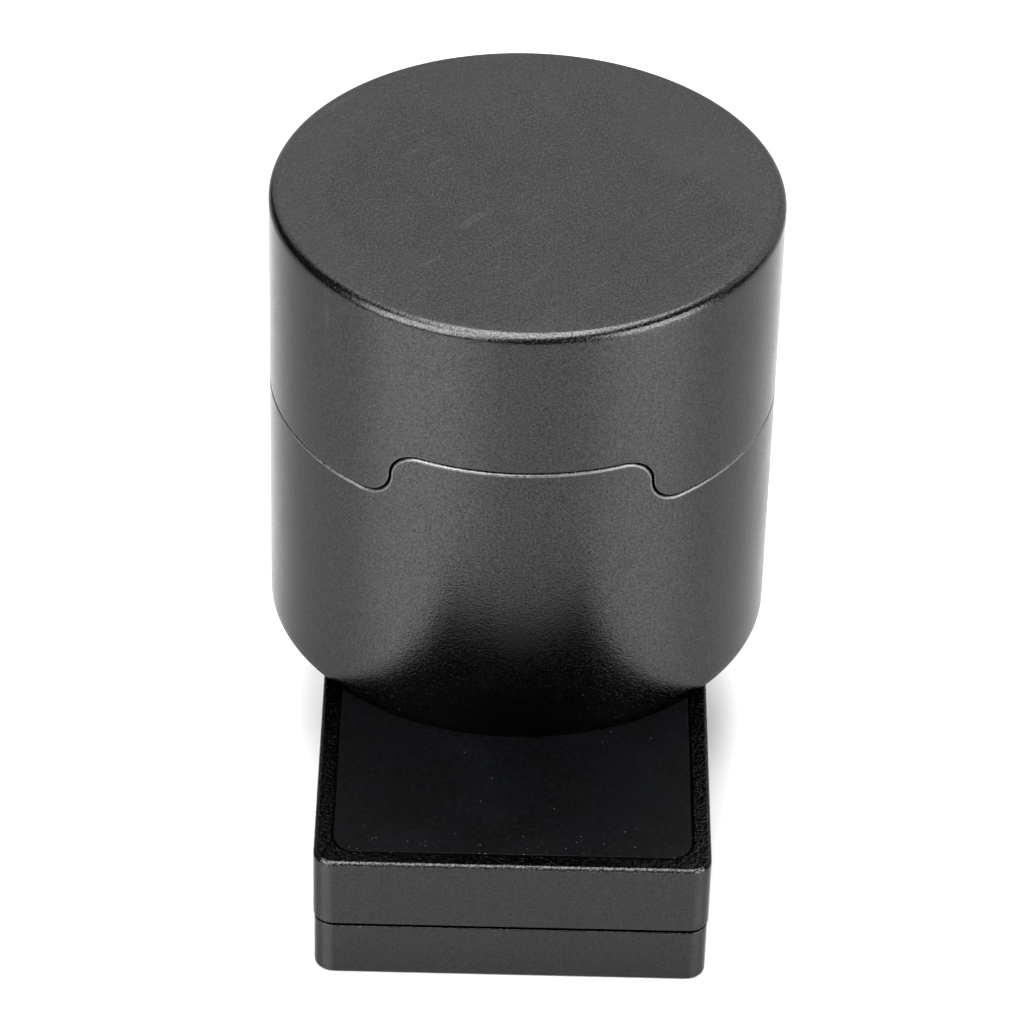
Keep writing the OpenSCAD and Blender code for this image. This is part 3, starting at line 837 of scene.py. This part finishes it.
class PRISM_OT_glass(bpy.types.Operator):
    """Builds the corner cube and the silver on its three facets"""

    bl_idname = "prism.glass"
    bl_label = "Glass"

    def execute(self, context):
        sizes = context.scene.survey_prism.prism
        tip, face, radius = GLASS_BOX[0].z, GLASS_BOX[1].z, GLASS_BOX[1].y
        bm = bmesh.new()
        bmesh.ops.create_cone(
            bm, cap_ends=True, segments=160, radius1=radius, radius2=radius, depth=face - tip,
            matrix=Matrix.Translation((0, 0, (face + tip) / 2)),
        )
        front = [e for e in bm.edges if all(abs(v.co.z - face) < 1e-7 for v in e.verts)]
        rounded(bm, front, sizes.chamfer, 1)
        for azimuth in (0, 120, 240):
            self.cut_facet(bm, tip, math.radians(azimuth))
        bmesh.ops.recalc_face_normals(bm, faces=bm.faces)
        facets = [f for f in bm.faces if f.normal.z < -0.3]
        ridges = [e for e in bm.edges if all(f in facets for f in e.link_faces)]
        rounded(bm, ridges, sizes.facet_edge, 1)
        coat = bm.copy()
        piece(bm, "corner_cube", finish_of("glass"), "foot", ["prism_glass"])
        others = [f for f in coat.faces if f.normal.z > -0.3 or len(f.verts) < 5]
        bmesh.ops.delete(coat, geom=others, context="FACES")
        bmesh.ops.recalc_face_normals(coat, faces=coat.faces)
        if coat.faces[:][0].normal.z > 0:
            bmesh.ops.reverse_faces(coat, faces=coat.faces)
        bmesh.ops.translate(coat, vec=-sizes.silver * UP, verts=coat.verts)
        bmesh.ops.solidify(coat, geom=coat.faces, thickness=-sizes.silver)
        bmesh.ops.recalc_face_normals(coat, faces=coat.faces)
        piece(coat, "facet_silver", finish_of("silver"), "foot", [])
        return {"FINISHED"}

    def cut_facet(self, bm, tip, azimuth):
        """Cuts one facet of the corner cube and closes it."""
        across, down = math.sqrt(2 / 3), math.sqrt(1 / 3)
        outward = Vector((across * math.cos(azimuth), across * math.sin(azimuth), -down))
        cut = bmesh.ops.bisect_plane(
            bm, geom=bm.verts[:] + bm.edges[:] + bm.faces[:], dist=1e-8, plane_co=(0, 0, tip),
            plane_no=outward, clear_outer=True,
        )
        loop = [g for g in cut["geom_cut"] if isinstance(g, bmesh.types.BMEdge)]
        bmesh.ops.contextual_create(bm, geom=loop)


class PRISM_OT_metalwork(bpy.types.Operator):
    """Breaks the edges of the ring, the cell, the bush and the magnets"""

    bl_idname = "prism.metalwork"
    bl_label = "Inner metalwork"

    def execute(self, context):
        edge = context.scene.survey_prism.foot.small_edge
        for node, finish, slot in (
            ("retaining_ring", "black metal", "black_anodised"),
            ("prism_cell", "black metal", "black_anodised"),
            ("mount_bush", "steel", "steel"),
            ("magnet_pots", "plating", "plated_steel"),
            ("magnet_discs", "plating", "plated_steel"),
        ):
            bm = merged_copy(node)
            rounded(bm, sharp_edges(bm), edge, 2, rubs=0.5)
            piece(bm, node + "_finished", finish_of(finish), "foot", [node])
        return {"FINISHED"}


class PRISM_OT_resin(bpy.types.Operator):
    """Fills the gap between each pot and its magnet with resin"""

    bl_idname = "prism.resin"
    bl_label = "Resin"

    def execute(self, context):
        outer_y = POT_BOX[1].y - DISC_BOX[1].y
        disc = (DISC_BOX[1].x - DISC_BOX[0].x) / 2
        pot_y = DISC_BOX[1].y - disc
        low = DISC_BOX[0].z + 0.1 * MM
        high = DISC_BOX[1].z
        gap = 0.25 * MM
        for side, name in ((-1, "front_resin"), (1, "back_resin")):
            bm = spun([(disc, low), (disc + gap, low), (disc + gap, high), (disc, high)], 96)
            bmesh.ops.translate(bm, vec=(0, side * pot_y, 0), verts=bm.verts)
            piece(bm, name, finish_of("plastic"), "foot", [])
        if outer_y <= 0:
            raise RuntimeError("the pots are smaller than their magnets")
        return {"FINISHED"}


class PRISM_OT_finishes(bpy.types.Operator):
    """Gives every part that keeps its own shape its finish"""

    bl_idname = "prism.finishes"
    bl_label = "Finishes"

    def execute(self, context):
        for finish, nodes in {
            "foam": ["cap_liner"],
            "seal rubber": ["cap_seal", "seat_cushion", "front_gasket", "foot_gasket"],
            "plastic": ["prism_seat"],
            "film": ["inlay_tape"],
            "steel": ["cell_screws", "cell_washers", "can_dowels", "foot_screws", "magnet_screws"],
        }.items():
            for node in nodes:
                dress(node, finish_of(finish))
        return {"FINISHED"}


class PRISM_OT_stage(bpy.types.Operator):
    """Sets up the floor, the light and the camera"""

    bl_idname = "prism.stage"
    bl_label = "Stage"

    def execute(self, context):
        studio = context.scene.survey_prism.studio
        self.make_floor(studio)
        self.make_sky(context.scene, studio)
        for name, values in PANELS.items():
            panel = getattr(studio, name)
            panel.azimuth, panel.elevation = math.radians(values[0]), math.radians(values[1])
            panel.distance, panel.width, panel.height, panel.brightness = values[2:]
            panel.round = name == "overhead"
            self.make_panel(context.scene, name, panel)
        self.make_camera(context.scene, studio)
        context.scene.view_settings.view_transform = "Standard"
        return {"FINISHED"}

    def make_floor(self, studio):
        """A plain pale floor."""
        bm = bmesh.new()
        bmesh.ops.create_grid(bm, x_segments=1, y_segments=1, size=studio.floor_size / 2)
        mesh = bpy.data.meshes.new("floor")
        bm.to_mesh(mesh)
        bm.free()
        material, _, shader = new_material("floor", 0.3, IOR=2.1)
        shader.inputs["Base Color"].default_value = (*studio.floor, 1)
        mesh.materials.append(material)
        floor = bpy.data.objects.new("floor", mesh)
        bpy.context.scene.collection.objects.link(floor)

    def make_sky(self, scene, studio):
        """A dim room."""
        scene.world = bpy.data.worlds.new("studio")
        scene.world.use_nodes = True
        background = scene.world.node_tree.nodes["Background"]
        background.inputs["Color"].default_value = (1, 1, 1, 1)
        background.inputs["Strength"].default_value = studio.sky

    def make_panel(self, scene, name, settings):
        """A soft light that faces the object."""
        light = bpy.data.lights.new(name, "AREA")
        light.shape = "ELLIPSE" if settings.round else "RECTANGLE"
        light.size, light.size_y = settings.width, settings.height
        area = settings.width * settings.height * (math.pi / 4 if settings.round else 1)
        light.energy = settings.brightness * area
        level = math.cos(settings.elevation)
        away = Vector((
            math.sin(settings.azimuth) * level, -math.cos(settings.azimuth) * level, math.sin(settings.elevation)
        ))
        panel = bpy.data.objects.new(name + "_light", light)
        panel.location = settings.distance * away
        panel.rotation_euler = away.to_track_quat("Z", "Y").to_euler()
        scene.collection.objects.link(panel)

    def make_camera(self, scene, studio):
        """The camera, turned round a point on the canister's axis."""
        data = bpy.data.cameras.new("camera")
        data.lens = studio.lens
        data.sensor_width = 36
        data.shift_x, data.shift_y = studio.shift_x, studio.shift_y
        data.clip_start, data.clip_end = 0.01, 100
        level = math.cos(studio.elevation)
        back = Vector(
            (math.sin(studio.azimuth) * level, -math.cos(studio.azimuth) * level, math.sin(studio.elevation))
        )
        right = Vector((math.cos(studio.azimuth), math.sin(studio.azimuth), 0))
        upward = back.cross(right)
        turned = right * math.cos(studio.roll) + upward * math.sin(studio.roll)
        camera = bpy.data.objects.new("camera", data)
        camera.matrix_world = Matrix.Translation(back * studio.distance + studio.aim_height * UP) @ Matrix(
            (turned, back.cross(turned), back)
        ).transposed().to_4x4()
        scene.collection.objects.link(camera)
        scene.camera = camera


class PRISM_PT_panel(bpy.types.Panel):
    """Lists the steps and the sizes"""

    bl_idname = "PRISM_PT_panel"
    bl_label = "Survey Prism"
    bl_space_type = "VIEW_3D"
    bl_region_type = "UI"
    bl_category = "Survey Prism"

    def draw(self, context):
        settings = context.scene.survey_prism
        for step in STEPS:
            self.layout.operator(step.bl_idname)
        for group in (settings.canister, settings.foot, settings.prism, settings.finish, settings.studio):
            box = self.layout.box()
            for name in group.bl_rna.properties.keys():
                if name not in ("rna_type", "name"):
                    box.prop(group, name)


STEPS = (
    PRISM_OT_stage,
    PRISM_OT_can,
    PRISM_OT_cap,
    PRISM_OT_foot,
    PRISM_OT_inlay,
    PRISM_OT_glass,
    PRISM_OT_metalwork,
    PRISM_OT_resin,
    PRISM_OT_finishes,
)
CLASSES = (
    CanisterSizes, FootSizes, PrismSizes, Finishes, PanelSettings, StudioSettings, SurveyPrismSettings,
    *STEPS, PRISM_PT_panel,
)


def register():
    """Adds the classes and the scene's settings."""
    for item in CLASSES:
        bpy.utils.register_class(item)
    bpy.types.Scene.survey_prism = PointerProperty(type=SurveyPrismSettings)


def unregister():
    """Removes the scene's settings and the classes."""
    del bpy.types.Scene.survey_prism
    for item in reversed(CLASSES):
        bpy.utils.unregister_class(item)


def main():
    """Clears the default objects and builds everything."""
    for name in ("Cube", "Camera", "Light"):
        if name in bpy.data.objects:
            bpy.data.objects.remove(bpy.data.objects[name])
    register()
    for step in STEPS:
        group, action = step.bl_idname.split(".")
        getattr(getattr(bpy.ops, group), action)()


if __name__ == "__main__":
    main()
